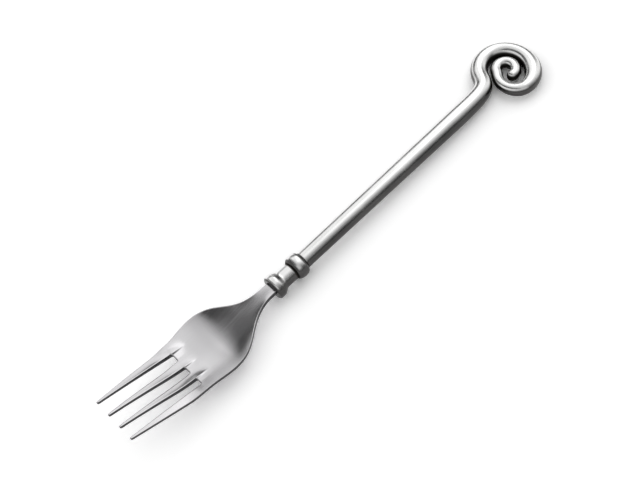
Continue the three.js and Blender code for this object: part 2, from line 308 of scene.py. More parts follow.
def turned(name, profile, count):
    """Draws a profile of (x, radius) points by extruding a point, and spins it about the shank's axis."""
    deselect()
    bpy.ops.mesh.primitive_plane_add(size=1, location=(0, 0, 0))
    piece = bpy.context.object
    piece.name = name
    bpy.ops.object.mode_set(mode="EDIT")
    bpy.ops.mesh.select_mode(type="VERT")
    bpy.ops.mesh.select_all(action="SELECT")
    bpy.ops.mesh.merge(type="CENTER")
    bpy.ops.transform.translate(value=(profile[0][0], 0, profile[0][1]))
    for (x0, r0), (x1, r1) in zip(profile, profile[1:]):
        bpy.ops.mesh.extrude_vertices_move(TRANSFORM_OT_translate={"value": (x1 - x0, 0, r1 - r0)})
    bpy.ops.mesh.select_all(action="SELECT")
    bpy.ops.mesh.spin(steps=count, angle=2 * math.pi, center=(0, 0, 0), axis=(1, 0, 0))
    tidy_shell()
    bpy.ops.object.mode_set(mode="OBJECT")
    return piece


def apply_modifier(piece, kind, **settings):
    pick(piece)
    bpy.ops.object.modifier_add(type=kind)
    modifier = piece.modifiers[-1]
    for setting, value in settings.items():
        setattr(modifier, setting, value)
    bpy.ops.object.modifier_apply(modifier=modifier.name)


def cut_box(piece, x0, x1, width, height, z=0):
    """Cuts a box-shaped hollow from x0 to x1, with its middle on the shank's plane or z above it."""
    deselect()
    middle = ((x0 + x1) / 2, 0, z)
    bpy.ops.mesh.primitive_cube_add(size=1, location=middle, scale=(x1 - x0, width, height))
    cutter = bpy.context.object
    bpy.ops.object.transform_apply(location=True, rotation=True, scale=True)
    apply_modifier(piece, "BOOLEAN", operation="DIFFERENCE", object=cutter)
    bpy.data.objects.remove(cutter)


def corner(x, r, dx, dr, start, end, count):
    """A quarter round of a profile, from one angle to another."""
    points = []
    for i in range(count + 1):
        angle = math.radians(lerp(start, end, i / count))
        points.append((x + dx * math.cos(angle), r + dr * math.sin(angle)))
    return points


# Collar

def make_ferrule():
    rear = BEAD_FRONT_X - FIT
    rear_edge = rear - WAIST_EDGE
    shoulder = COLLAR_FRONT_X + FRONT_SHOULDER
    crest = shoulder + FRONT_CREST
    waist = COLLAR_FRONT_X + FRONT_BEAD_LENGTH
    rise = BEAD_R - FRONT_FACE_R
    profile = [(COLLAR_FRONT_X, 0)]
    profile += corner(shoulder, FRONT_FACE_R, FRONT_SHOULDER, rise, 180, 90, FRONT_SHOULDER_STEPS)
    for i in range(FRONT_FALL_STEPS + 1):
        t = i / FRONT_FALL_STEPS
        profile.append((lerp(crest, waist, t), lerp(BEAD_R, WAIST_R, smooth(t))))
    profile += [(x, WAIST_R) for x in steps(waist, rear_edge, WAIST_STEPS)[1:]]
    profile += [(rear_edge, WAIST_R), (rear, WAIST_R - WAIST_EDGE), (rear, SPIGOT_R + FIT)]
    profile += [(SPIGOT_FRONT_X - FIT, SPIGOT_R + FIT), (SPIGOT_FRONT_X - FIT, 0)]
    ferrule = turned("ferrule_turned", profile, TURN_STEPS)
    seat_end = COLLAR_FRONT_X + SEAT_DEPTH
    seat_width = 2 * (NECK_HALF + FIT)
    slot_end = SPIGOT_FRONT_X + CUT_PAST
    cut_box(ferrule, COLLAR_FRONT_X - CUT_PAST, seat_end, seat_width, NECK_THICK + 2 * FIT, NECK_RISE)
    cut_box(ferrule, COLLAR_FRONT_X, slot_end, TANG_WIDTH + 2 * FIT, TANG_THICK + 2 * FIT)
    lay_down(ferrule, COLLAR_CREASE)
    return ferrule


def make_rear_bead():
    rear = ROD_FRONT_X - FIT
    middle = (BEAD_FRONT_X + rear) / 2
    reach = (rear - BEAD_FRONT_X) / 2
    profile = [(BEAD_FRONT_X, SPIGOT_R + FIT)]
    for i in range(BEAD_STEPS + 1):
        t = -math.cos(math.pi * i / BEAD_STEPS)
        round_off = max(0.0, 1 - t * t) ** (1 - BEAD_FULLNESS)
        profile.append((middle + reach * t, lerp(CREVICE_R, BEAD_R, round_off)))
    profile += [(rear, SPIGOT_R + FIT), (BEAD_FRONT_X, SPIGOT_R + FIT)]
    bead = turned("rear_bead_turned", profile, TURN_STEPS)
    lay_down(bead, COLLAR_CREASE)
    return bead


# Handle

def scroll_point(wound):
    draw = smooth((wound - WIND_START) / WIND_SPAN)
    closing = INNER_CLOSING * clamp01((wound - WIND_START) / (WIND_TOTAL - WIND_START))
    along = lerp(OUTER_ALONG, INNER_ALONG - closing, draw)
    across = lerp(OUTER_ACROSS, INNER_ACROSS - closing, draw)
    lean = lerp(OUTER_LEAN, INNER_LEAN, draw)
    angle = math.radians(WIND_FROM - wound)
    x = SCROLL_X + INNER_SHIFT_X * draw + along * math.cos(angle) + lean * math.sin(angle)
    return Vector((x, SCROLL_Y + INNER_SHIFT_Y * draw + across * math.sin(angle), 0))


def tube_radius(wound):
    outer = lerp(TUBE_START_R, TUBE_OUTER_R, clamp01(wound / TUBE_DRAW_START))
    return lerp(outer, TUBE_INNER_R, smooth((wound - TUBE_DRAW_START) / TUBE_DRAW_SPAN))


def scroll_path():
    """Points of the bend and the scroll, each with the radius of the rod there."""
    heading = (scroll_point(0.5) - scroll_point(-0.5)).normalized()
    start = Vector((BEND_START_X, 0, 0))
    leaving = start + Vector((BEND_PULL, 0, 0))
    reaching = scroll_point(0) - heading * SCROLL_PULL
    stops = []
    for i in range(BEND_STEPS):
        t = i / BEND_STEPS
        at = bezier(start, leaving, reaching, scroll_point(0), t)
        stops.append((at, lerp(ROD_REAR_R, TUBE_START_R, t)))
    for i in range(SCROLL_STEPS + 1):
        wound = WIND_TOTAL * i / SCROLL_STEPS
        stops.append((scroll_point(wound), tube_radius(wound)))
    return stops


def rod_profile(stops):
    """Socket, spigot and shoulder in front, then the shank and the length that is wound, still straight."""
    edge_x = ROD_FRONT_X + ROD_EDGE
    profile = [(SOCKET_END_X, 0), (SOCKET_END_X, SOCKET_R)]
    profile += [(SPIGOT_FRONT_X, SOCKET_R), (SPIGOT_FRONT_X, SPIGOT_R), (ROD_FRONT_X, SPIGOT_R)]
    profile += corner(edge_x, ROD_FRONT_R - ROD_EDGE, ROD_EDGE, ROD_EDGE, 180, 90, ROD_EDGE_STEPS)
    for i in range(1, ROD_STEPS):
        t = (i / ROD_STEPS) ** ROD_CROWDING
        profile.append((lerp(edge_x, BEND_START_X, t), lerp(ROD_FRONT_R, ROD_REAR_R, t)))
    run = BEND_START_X
    before = stops[0][0]
    for at, radius in stops:
        run += (at - before).length
        before = at
        profile.append((run, radius))
    end_r = stops[-1][1]
    return profile + corner(run, 0, end_r, end_r, 90, 0, ROD_END_STEPS)[1:]


def wind_along(piece, places):
    """Bends a straight piece along a row of places that starts at its front end."""
    path = bpy.data.curves.new("scroll_path", "CURVE")
    path.dimensions = "2D"
    spline = path.splines.new("POLY")
    spline.points.add(len(places) - 1)
    for point, at in zip(spline.points, places):
        point.co = (*(at - places[0]), 1)
    guide = bpy.data.objects.new("scroll_guide", path)
    guide.location = places[0]
    bpy.context.collection.objects.link(guide)
    apply_modifier(piece, "CURVE", object=guide, deform_axis="POS_X")
    bpy.data.objects.remove(guide)
    bpy.data.curves.remove(path)


def rub_flat(handle):
    """Cuts the narrow flat that the handle lies on, level with the table."""
    pick(handle)
    bpy.ops.object.mode_set(mode="EDIT")
    bpy.ops.mesh.select_all(action="SELECT")
    upward = Vector((-math.sin(REST_PITCH), 0, math.cos(REST_PITCH)))
    flat = Vector((SCROLL_X, 0, 0)) - upward * (TUBE_START_R - REST_FLAT)
    bpy.ops.mesh.bisect(plane_co=flat, plane_no=upward, use_fill=True, clear_inner=True)
    tidy_shell()
    bpy.ops.object.mode_set(mode="OBJECT")


def make_handle():
    stops = scroll_path()
    handle = turned("handle_rod", rod_profile(stops), ROD_TURN_STEPS)
    shank = [Vector((x, 0, 0)) for x in steps(SPIGOT_FRONT_X - CUT_PAST, BEND_START_X, SHANK_STEPS)]
    wind_along(handle, shank + [at for at, radius in stops])
    rub_flat(handle)
    lay_down(handle, HANDLE_CREASE)
    return handle


# Head: outline in plan and heights, as stamped and formed

def shoulder_half(x):
    """Half width between palm and neck, on a curve whose place at x is found by halving."""
    low, high = 0.0, 1.0
    for halving in range(HALVINGS):
        t = (low + high) / 2
        if bezier(PALM_X, PALM_X + SHOULDER_PULL, NECK_X - NECK_PULL, NECK_X, t) < x:
            low = t
        else:
            high = t
    return lerp(PALM_HALF, NECK_HALF, smooth(t))


def tip_narrowing(x):
    return TIP_NARROWING * round_fall(clamp01(1 - (x - TIP_X) / TIP_ROUND))


def tine_run(x):
    return clamp01((SLOT_ROOT_X - x) / (SLOT_ROOT_X - TIP_X))


def head_half(x):
    if x >= NECK_X:
        return NECK_HALF
    if x >= PALM_X:
        return shoulder_half(x)
    if x >= SLOT_ROOT_X:
        return lerp(ROOT_HALF, PALM_HALF, smooth((x - SLOT_ROOT_X) / (PALM_X - SLOT_ROOT_X)))
    return lerp(ROOT_HALF, TIP_HALF, tine_run(x) ** TINE_TAPER) - tip_narrowing(x)


def slot_pitch(x):
    return lerp(SLOT_PITCH_ROOT, SLOT_PITCH_TIP, tine_run(x))


def plain_slot_half(x):
    return lerp(SLOT_HALF_ROOT, SLOT_HALF_TIP, tine_run(x))


def slot_half(x):
    """Half width of a slot with its rounded corners at the root and at the tips."""
    into_corner = clamp01(1 - (SLOT_ROOT_X - x) / SLOT_CORNER)
    return plain_slot_half(x) + tip_narrowing(x) - SLOT_CORNER * round_fall(into_corner)


def tine_rise(x):
    """The tines curve up over the first stretch and then run straight to the tips."""
    run = max(0.0, RISE_START_X - x)
    eased = run * run / (2 * RISE_EASE) if run < RISE_EASE else run - RISE_EASE / 2
    return TIP_RISE * eased / (RISE_START_X - TIP_X - RISE_EASE / 2)


def edge_height(x):
    neck_top = NECK_RISE + NECK_THICK / 2
    return lerp(PALM_EDGE_Z, neck_top, smooth((x - PALM_X) / (NECK_X - PALM_X))) + tine_rise(x)


def edge_dip(x):
    """The edges of the sheet dip a little at the shoulders."""
    return SHOULDER_DIP * (1 - smooth(abs(x - SHOULDER_DIP_X) / SHOULDER_DIP_SPAN))


def climbed(x):
    """Share of the climb from the palm to the neck, slow at both ends and steepest at the turn."""
    whole = DISH_END_X - DISH_HOLD_X
    if x < DISH_TURN_X:
        run = clamp01((x - DISH_HOLD_X) / (DISH_TURN_X - DISH_HOLD_X))
        return (DISH_TURN_X - DISH_HOLD_X) / whole * run * run * (3 - run) / 2
    left = clamp01((DISH_END_X - x) / (DISH_END_X - DISH_TURN_X))
    return 1 - (DISH_END_X - DISH_TURN_X) / whole * left * left * (3 - left) / 2


def dish_depth(x):
    """The palm is deepest in its middle, and climbs from there to the flat neck and out to the tips."""
    if x >= PALM_X:
        return PALM_DISH * max(0.0, 1 - climbed(x) / climbed(COLLAR_FRONT_X))
    return lerp(PALM_DISH, TIP_DISH, smooth((PALM_X - x) / (PALM_X - TIP_X)))


def sheet_thickness(x):
    if x >= PALM_X:
        return lerp(PALM_THICK, NECK_THICK, smooth((x - PALM_X) / (NECK_X - PALM_X)))
    return lerp(PALM_THICK, TIP_THICK, smooth((PALM_X - x) / (PALM_X - TIP_X)))


def tine_middle(x, y):
    """How far the middle of the tine that holds y lies from the fork's axis."""
    if abs(y) < slot_pitch(x):
        return slot_pitch(x) / 2
    return (slot_pitch(x) + plain_slot_half(x) + head_half(x)) / 2


def dished_height(x, y):
    """Top of the sheet; the tines leave the hollow of the palm and become level across their tops."""
    level = TINE_LEVEL * smooth((SLOT_ROOT_X - x) / TINE_LEVEL_RUN)
    across = min(1.0, lerp(abs(y), tine_middle(x, y), level) / max(head_half(x), NECK_HALF))
    return edge_height(x) - dish_depth(x) * (1 - across * across) - edge_dip(x) * across * across


def flute_height(x, y):
    """The slots run on into the palm as fading hollows, each with one gentle side and one steep brink."""
    pitch, edge = slot_pitch(x), head_half(x)
    half = plain_slot_half(x)
    number = max(-1, min(1, math.floor((y + FLUTE_FLOOR) / pitch)))
    off = y - number * pitch
    foot, top = half - BRINK_OUT, half + BRINK_IN
    if off < -FLUTE_FLOOR:
        height = FLUTE_LOW * clamp01((edge + y) / (edge - pitch - FLUTE_FLOOR))
    elif off < foot:
        height = lerp(FLUTE_LOW, FLUTE_FOOT, (off + FLUTE_FLOOR) / (foot + FLUTE_FLOOR))
    elif off < top:
        height = lerp(FLUTE_FOOT, FLUTE_TOP, smooth((off - foot) / (top - foot)))
    else:
        far, low = (pitch - FLUTE_FLOOR, FLUTE_LOW) if number < 1 else (edge - pitch, 0)
        height = lerp(FLUTE_TOP, low, 1 - (1 - clamp01((off - top) / (far - top))) ** 2)
    along = lerp(1, FLUTE_AT_TIP, smooth(tine_run(x) / FLUTE_ALONG_TINE))
    return height * along * smooth((SLOT_ROOT_X + FLUTE_RUN - x) / FLUTE_RUN)


# Head: the sheet as a mesh

def head_rows():
    """Places along the sheet from the tips to the neck, close together where an edge is rounded."""
    corner_x = SLOT_ROOT_X - SLOT_CORNER
    rows = steps(TIP_X, TIP_X + TIP_ROUND, TIP_ROWS, ease=True)
    rows += steps(TIP_X + TIP_ROUND, corner_x, TINE_ROWS)
    for i in range(CORNER_ROWS):
        rows.append(SLOT_ROOT_X - SLOT_CORNER * math.cos(math.pi / 2 * i / CORNER_ROWS))
    rows += steps(SLOT_ROOT_X, SLOT_ROOT_X + ROOT_RUN, ROOT_ROWS, ease=True)
    rows += steps(SLOT_ROOT_X + ROOT_RUN, NECK_X, PALM_ROWS)
    rows += steps(NECK_X, NECK_END_X, NECK_ROWS)
    return rows + [NECK_END_X]


def head_columns(x):
    """Places across the sheet from +Y to -Y, over four tines with three slots between them."""
    at = min(x, SLOT_ROOT_X)
    stretch = head_half(x) / head_half(at)
    edges = [head_half(at)]
    for number in (1, 0, -1):
        edges += [number * slot_pitch(at) + slot_half(at), number * slot_pitch(at) - slot_half(at)]
    edges.append(-head_half(at))
    places = []
    for strip, (left, right) in enumerate(zip(edges, edges[1:])):
        splits = SLOT_SPLITS if strip % 2 else TINE_SPLITS
        places += [lerp(left, right, t) * stretch for t in splits]
    return places + [edges[-1] * stretch]


def flat_sheet():
    rows = head_rows()
    columns = [head_columns(x) for x in rows]
    row_gaps = len(rows) - 1
    column_gaps = len(columns[0]) - 1
    deselect()
    bpy.ops.mesh.primitive_grid_add(
        x_subdivisions=row_gaps, y_subdivisions=column_gaps, size=2, location=(0, 0, 0))
    head = bpy.context.object
    head.name = "head_formed"
    for vertex in head.data.vertices:
        i = round((1 + vertex.co.x) / 2 * row_gaps)
        j = round((1 - vertex.co.y) / 2 * column_gaps)
        vertex.co = (rows[i], columns[i][j], 0)
    return head


def cut_slots(mesh):
    choose_faces()
    for face in mesh.polygons:
        corners = [mesh.vertices[k].co for k in face.vertices]
        middle = sum(corners, Vector()) / len(corners)
        pitch = slot_pitch(middle.x)
        off = min(abs(middle.y - number * pitch) for number in (-1, 0, 1))
        among_tines = max(co.x for co in corners) < SLOT_ROOT_X + TINY
        face.select = among_tines and off < slot_half(middle.x)
    bpy.ops.object.mode_set(mode="EDIT")
    bpy.ops.mesh.delete(type="FACE")
    bpy.ops.object.mode_set(mode="OBJECT")


def edge_distances(mesh):
    """How far each point of the flat sheet lies from its cut edge, round the tines and the palm."""
    uses = {}
    for face in mesh.polygons:
        for key in face.edge_keys:
            uses[key] = uses.get(key, 0) + 1
    samples = []
    for (a, b), count in uses.items():
        p, q = mesh.vertices[a].co, mesh.vertices[b].co
        if count == 1 and min(p.x, q.x) < NECK_END_X - TINY:
            parts = max(1, math.ceil((q - p).length / EDGE_SAMPLE))
            samples += [p.lerp(q, i / parts) for i in range(parts + 1)]
    tree = KDTree(len(samples))
    for i, sample in enumerate(samples):
        tree.insert((sample.x, sample.y, 0), i)
    tree.balance()
    return [tree.find((v.co.x, v.co.y, 0))[2] for v in mesh.vertices]


def form_sheet(mesh):
    """Gives the flat sheet an underside, and raises both sides to their heights with rounded edges."""
    distances = edge_distances(mesh)
    tree = KDTree(len(mesh.vertices))
    for vertex in mesh.vertices:
        tree.insert(vertex.co, vertex.index)
    tree.balance()
    bpy.ops.object.mode_set(mode="EDIT")
    bpy.ops.mesh.select_all(action="SELECT")
    bpy.ops.mesh.extrude_region_move(TRANSFORM_OT_translate={"value": (0, 0, -LAYER_GAP)})
    bpy.ops.object.mode_set(mode="OBJECT")
    # How near each point lies to the cut edge, where the steel finish paints shade
    cut_edge = mesh.attributes.new("cut_edge", "FLOAT", "POINT")
    for vertex in mesh.vertices:
        under = vertex.co.z < -LAYER_GAP / 2
        x, y = vertex.co.x, vertex.co.y
        size, share = (UNDER_EDGE, UNDER_EDGE_SHARE) if under else (HEAD_EDGE, HEAD_EDGE_SHARE)
        edge = min(size, share * sheet_thickness(x))
        away = distances[tree.find((x, y, 0))[1]]
        drop = edge - math.sqrt(max(0.0, edge * edge - (edge - away) ** 2)) if away < edge else 0.0
        cut_edge.data[vertex.index].value = 1 - smooth(away / edge)
        if under:
            vertex.co.z = dished_height(x, y) - sheet_thickness(x) + drop
        else:
            vertex.co.z = dished_height(x, y) + flute_height(x, y) - drop


def draw_out_tang(mesh):
    """Extrudes the end of the neck, narrows it and draws it out to the tang's end."""
    choose_faces()
    for face in mesh.polygons:
        face.select = face.center.x > NECK_END_X - TINY
    bpy.ops.object.mode_set(mode="EDIT")
    bpy.ops.mesh.extrude_region_move(TRANSFORM_OT_translate={"value": (0, 0, 0)})
    narrowing = (1, TANG_WIDTH / (2 * NECK_HALF), TANG_THICK / NECK_THICK)
    bpy.ops.transform.resize(value=narrowing, center_override=(NECK_END_X, 0, NECK_RISE))
    bpy.ops.transform.translate(value=(0, 0, -NECK_RISE))
    bpy.ops.mesh.extrude_region_move(TRANSFORM_OT_translate={"value": (TANG_END_X - NECK_END_X, 0, 0)})
    bpy.ops.mesh.select_all(action="SELECT")
    bpy.ops.mesh.normals_make_consistent(inside=False)
    bpy.ops.object.mode_set(mode="OBJECT")


def make_head():
    head = flat_sheet()
    cut_slots(head.data)
    form_sheet(head.data)
    draw_out_tang(head.data)
    lay_down(head, HEAD_CREASE)
    return head


# Painted shade and grime: bright tops, flanks darkened by painted shade, and how deep each point lies in a
# groove or crevice, where grime and painted shade darken it

# Thresholds of painted shade: flanks and shoulders of the polished metal are darkened by how they turn, in
# place of a dark reflection
BRIGHT_TOP = 0.8
DARK_COLLAR_FLANK = 0.42
DARK_HANDLE_FLANK = 0.43
BELLY_SHADE_FULL = -0.6
BELLY_SHADE_GONE = -0.9
FERRULE_SHOULDERS = (0.28, 0.68)
BEAD_SHOULDERS = (0.16, 0.52)
CREVICE_REACH = 0.0055
CREVICE_DIRECTIONS = 90
CREVICE_LIFT = 0.00003
CREVICE_LEAST_LEAN = 0.1
EVENING_ROUNDS = 4


def mark_flanks(piece, dark_flank, shoulders=None):
    """Paints shade by how far the surface turns away from upward and, on shoulders, along the fork."""
    values = piece.data.attributes.new("flank", "FLOAT", "POINT")
    for vertex in piece.data.vertices:
        up = vertex.normal.z
        below_top = smooth((BRIGHT_TOP - up) / (BRIGHT_TOP - dark_flank))
        above_belly = 1 - smooth((BELLY_SHADE_FULL - up) / (BELLY_SHADE_FULL - BELLY_SHADE_GONE))
        dark = below_top * above_belly
        if shoulders:
            start, end = shoulders
            dark = max(dark, smooth((abs(vertex.normal.x) - start) / (end - start)))
        values.data[vertex.index].value = dark


def sphere_directions(count):
    turns = math.pi * (3 - math.sqrt(5))
    out = []
    for i in range(count):
        z = 1 - 2 * (i + 0.5) / count
        r = math.sqrt(1 - z * z)
        out.append(Vector((r * math.cos(turns * i), r * math.sin(turns * i), z)))
    return out


def evened_out(mesh, values):
    """Each point's value averaged with those of the points next to it."""
    sums = list(values)
    counts = [1] * len(values)
    for edge in mesh.edges:
        a, b = edge.vertices
        sums[a] += values[b]
        sums[b] += values[a]
        counts[a] += 1
        counts[b] += 1
    return [total / count for total, count in zip(sums, counts)]


def shut_in(tree, vertex, directions):
    """Share of the view from a point that near metal shuts off."""
    start = vertex.co + vertex.normal * CREVICE_LIFT
    shut = whole = 0.0
    for direction in directions:
        lean = vertex.normal.dot(direction)
        if lean > CREVICE_LEAST_LEAN:
            whole += lean
            place, _, _, distance = tree.ray_cast(start, direction, CREVICE_REACH)
            if place is not None:
                shut += lean * (1 - distance / CREVICE_REACH)
    return shut / whole


# The crevice value says how shut in each point is; the polished metal is darkened there by grime and
# painted shade
def mark_crevices(pieces):
    corners, faces = [], []
    for piece in pieces:
        start = len(corners)
        corners += [v.co.copy() for v in piece.data.vertices]
        faces += [[start + k for k in face.vertices] for face in piece.data.polygons]
    tree = BVHTree.FromPolygons(corners, faces)
    directions = sphere_directions(CREVICE_DIRECTIONS)
    for piece in pieces:
        mesh = piece.data
        depths = [shut_in(tree, vertex, directions) for vertex in mesh.vertices]
        for evening in range(EVENING_ROUNDS):
            depths = evened_out(mesh, depths)
        mesh.attributes.new("crevice", "FLOAT", "POINT").data.foreach_set("value", depths)


# Node helpers

def start_finish(name):
    finish = bpy.data.materials.new(name)
    finish.use_nodes = True
    return finish, finish.node_tree, finish.node_tree.nodes["Principled BSDF"]


def value_range(tree, source, low, high, start=0.0, end=1.0):
    """Goes smoothly from low to high while the source goes from start to end."""
    node = tree.nodes.new("ShaderNodeMapRange")
    node.interpolation_type = "SMOOTHSTEP"
    node.inputs["From Min"].default_value = start
    node.inputs["From Max"].default_value = end
    node.inputs["To Min"].default_value = low
    node.inputs["To Max"].default_value = high
    tree.links.new(source, node.inputs["Value"])
    return node.outputs["Result"]


def blend_colours(tree, mask, first, second):
    """Mixes two colours, for which a mix node has its inputs 0, 6 and 7 and its output 2."""
    node = tree.nodes.new("ShaderNodeMix")
    node.data_type = "RGBA"
    tree.links.new(mask, node.inputs[0])
    for index, colour in ((6, first), (7, second)):
        if isinstance(colour, tuple):
            node.inputs[index].default_value = (*colour, 1)
        else:
            tree.links.new(colour, node.inputs[index])
    return node.outputs[2]


def worked_out(tree, operation, *sources):
    node = tree.nodes.new("ShaderNodeMath")
    node.operation = operation
    for index, source in enumerate(sources):
        tree.links.new(source, node.inputs[index])
    return node.outputs[0]


def added(tree, first, second):
    return worked_out(tree, "ADD", first, second)


def times(tree, first, second):
    return worked_out(tree, "MULTIPLY", first, second)


def point_value(tree, name):
    node = tree.nodes.new("ShaderNodeAttribute")
    node.attribute_name = name
    return node.outputs["Fac"]


def split_axes(tree, kind):
    coords = tree.nodes.new("ShaderNodeTexCoord")
    parts = tree.nodes.new("ShaderNodeSeparateXYZ")
    tree.links.new(coords.outputs[kind], parts.inputs["Vector"])
    return parts.outputs


# Finishes: colours, roughnesses, and the ranges over which one passes into another

STEEL_DARK = (0.655, 0.647, 0.66)
STEEL_PALE = (0.685, 0.677, 0.69)
# Painted shade on the cut edges of the head
STEEL_EDGE_SHADE = (0.06, 0.06, 0.062)
POLISH_DARK = (0.8, 0.8, 0.795)
POLISH_PALE = (0.87, 0.87, 0.865)
# Painted shade for the flanks and shoulders of the polished metal
FLANK_SHADE_DARK = (0.055, 0.054, 0.053)
FLANK_SHADE_PALE = (0.082, 0.08, 0.079)
# Grime and painted shade, deepest in crevices
GRIME_AND_SHADE = (0.03, 0.027, 0.024)
RESIN_DARK = (0.42, 0.38, 0.32)
RESIN_PALE = (0.56, 0.52, 0.45)
STEEL_ROUGHNESS = (0.18, 0.22)
STEEL_HANDLING = (-0.03, 0.04)
POLISH_ROUGHNESS = (0.22, 0.28)
CREVICE_ROUGHNESS = (0, 0.3)
RESIN_ROUGHNESS = (0.6, 0.8)
NOISE_RANGE = (0.3, 0.7)
EDGE_SHADE_RANGE = (0.55, 0.98)
CREVICE_RANGE = (0.07, 0.3)
CREVICE_SCATTER = (-0.02, 0.02)
LINE_DETAIL = 3
BLOTCH_DETAIL = 2
LINE_DEPTH = 0.00001


def build_polishing_lines():
    """Fine lines left by polishing along the fork, and soft blotches where it was handled."""
    group = bpy.data.node_groups.new("polishing_lines", "ShaderNodeTree")
    for label in ("Along", "Across", "Upward", "Blotch"):
        group.interface.new_socket(name=label, in_out="INPUT", socket_type="NodeSocketFloat")
    for label in ("Lines", "Blotches"):
        group.interface.new_socket(name=label, in_out="OUTPUT", socket_type="NodeSocketFloat")
    nodes, links = group.nodes, group.links
    given = nodes.new("NodeGroupInput")
    result = nodes.new("NodeGroupOutput")
    coords = nodes.new("ShaderNodeTexCoord")
    stretch = nodes.new("ShaderNodeCombineXYZ")
    for label, axis in (("Along", "X"), ("Across", "Y"), ("Upward", "Z")):
        links.new(given.outputs[label], stretch.inputs[axis])
    scaled = nodes.new("ShaderNodeVectorMath")
    scaled.operation = "MULTIPLY"
    links.new(coords.outputs["Object"], scaled.inputs[0])
    links.new(stretch.outputs["Vector"], scaled.inputs[1])
    lines = nodes.new("ShaderNodeTexNoise")
    lines.inputs["Scale"].default_value = 1
    lines.inputs["Detail"].default_value = LINE_DETAIL
    links.new(scaled.outputs["Vector"], lines.inputs["Vector"])
    blotches = nodes.new("ShaderNodeTexNoise")
    blotches.inputs["Detail"].default_value = BLOTCH_DETAIL
    links.new(coords.outputs["Object"], blotches.inputs["Vector"])
    links.new(given.outputs["Blotch"], blotches.inputs["Scale"])
    links.new(lines.outputs["Fac"], result.inputs["Lines"])
    links.new(blotches.outputs["Fac"], result.inputs["Blotches"])
    return group


def place_lines(tree, lines_group, along, across, upward, blotch):
    """Puts the lines and blotches in a finish, with about as many waves of noise to the metre as given."""
    node = tree.nodes.new("ShaderNodeGroup")
    node.node_tree = lines_group
    for label, value in (("Along", along), ("Across", across), ("Upward", upward), ("Blotch", blotch)):
        node.inputs[label].default_value = value
    return node.outputs["Lines"], node.outputs["Blotches"]


def add_bump(tree, shader, height, strength):
    bump = tree.nodes.new("ShaderNodeBump")
    bump.inputs["Strength"].default_value = strength
    bump.inputs["Distance"].default_value = LINE_DEPTH
    tree.links.new(height, bump.inputs["Height"])
    tree.links.new(bump.outputs["Normal"], shader.inputs["Normal"])


def satin_steel(lines_group):
    finish, tree, shader = start_finish("satin_steel")
    shader.inputs["Metallic"].default_value = 1
    lines, blotches = place_lines(tree, lines_group, along=40, across=2600, upward=0, blotch=70)
    lined = value_range(tree, lines, 0, 1, *NOISE_RANGE)
    steel = blend_colours(tree, lined, STEEL_DARK, STEEL_PALE)
    # The cut edges of the head get painted shade
    edge_shade = value_range(tree, point_value(tree, "cut_edge"), 0, 1, *EDGE_SHADE_RANGE)
    tree.links.new(blend_colours(tree, edge_shade, steel, STEEL_EDGE_SHADE), shader.inputs["Base Color"])
    brushed = value_range(tree, lines, *STEEL_ROUGHNESS, *NOISE_RANGE)
    handled = value_range(tree, blotches, *STEEL_HANDLING, *NOISE_RANGE)
    tree.links.new(added(tree, brushed, handled), shader.inputs["Roughness"])
    add_bump(tree, shader, lines, strength=0.05)
    return finish


def polished_metal(lines_group):
    finish, tree, shader = start_finish("polished_metal")
    shader.inputs["Metallic"].default_value = 1
    lines, blotches = place_lines(tree, lines_group, along=45, across=1500, upward=1500, blotch=120)
    blotched = value_range(tree, blotches, 0, 1, *NOISE_RANGE)
    polish = blend_colours(tree, blotched, POLISH_DARK, POLISH_PALE)
    # Flanks and shoulders get painted shade in place of a dark reflection
    flank_colour = blend_colours(tree, blotched, FLANK_SHADE_DARK, FLANK_SHADE_PALE)
    flank = value_range(tree, point_value(tree, "flank"), 0, 1)
    shaded_polish = blend_colours(tree, flank, polish, flank_colour)
    # Crevices are darkened by grime and painted shade
    scatter = value_range(tree, blotches, *CREVICE_SCATTER)
    depth = added(tree, point_value(tree, "crevice"), scatter)
    crevice_shaded = value_range(tree, depth, 0, 1, *CREVICE_RANGE)
    tree.links.new(blend_colours(tree, crevice_shaded, shaded_polish, GRIME_AND_SHADE), shader.inputs["Base Color"])
    worn = value_range(tree, blotches, *POLISH_ROUGHNESS, *NOISE_RANGE)
    dull = value_range(tree, depth, *CREVICE_ROUGHNESS, *CREVICE_RANGE)
    tree.links.new(added(tree, worn, dull), shader.inputs["Roughness"])
    add_bump(tree, shader, lines, strength=0.06)
    return finish


def set_resin(lines_group):
    finish, tree, shader = start_finish("set_resin")
    blotches = place_lines(tree, lines_group, along=600, across=600, upward=600, blotch=900)[1]
    tree.links.new(blend_colours(tree, blotches, RESIN_DARK, RESIN_PALE), shader.inputs["Base Color"])
    tree.links.new(value_range(tree, blotches, *RESIN_ROUGHNESS), shader.inputs["Roughness"])
    return finish


# Floor, in metres

FLOOR_SIZE = 24
FLOOR_COLOUR = 0.9
FLOOR_SEEN = 1.3


def add_floor():
    """A pale floor, a little paler where it is seen or mirrored than where it lights the fork."""
    deselect()
    bpy.ops.mesh.primitive_plane_add(size=FLOOR_SIZE, location=(0, 0, 0))
    floor = bpy.context.object
    floor.name = "pale_floor"
    finish, tree, shader = start_finish("pale_paper")
    tree.nodes.remove(shader)
    paper = tree.nodes.new("ShaderNodeBsdfDiffuse")
    path = tree.nodes.new("ShaderNodeLightPath")
    seen = added(tree, path.outputs["Is Camera Ray"], path.outputs["Is Glossy Ray"])
    seen = added(tree, seen, path.outputs["Is Transmission Ray"])
    tree.links.new(value_range(tree, seen, FLOOR_COLOUR, FLOOR_SEEN), paper.inputs["Color"])
    tree.links.new(paper.outputs["BSDF"], tree.nodes["Material Output"].inputs["Surface"])
    floor.data.materials.append(finish)


# Black cards, called flags at a photographer's table: name, place in metres, turn in degrees, width, height

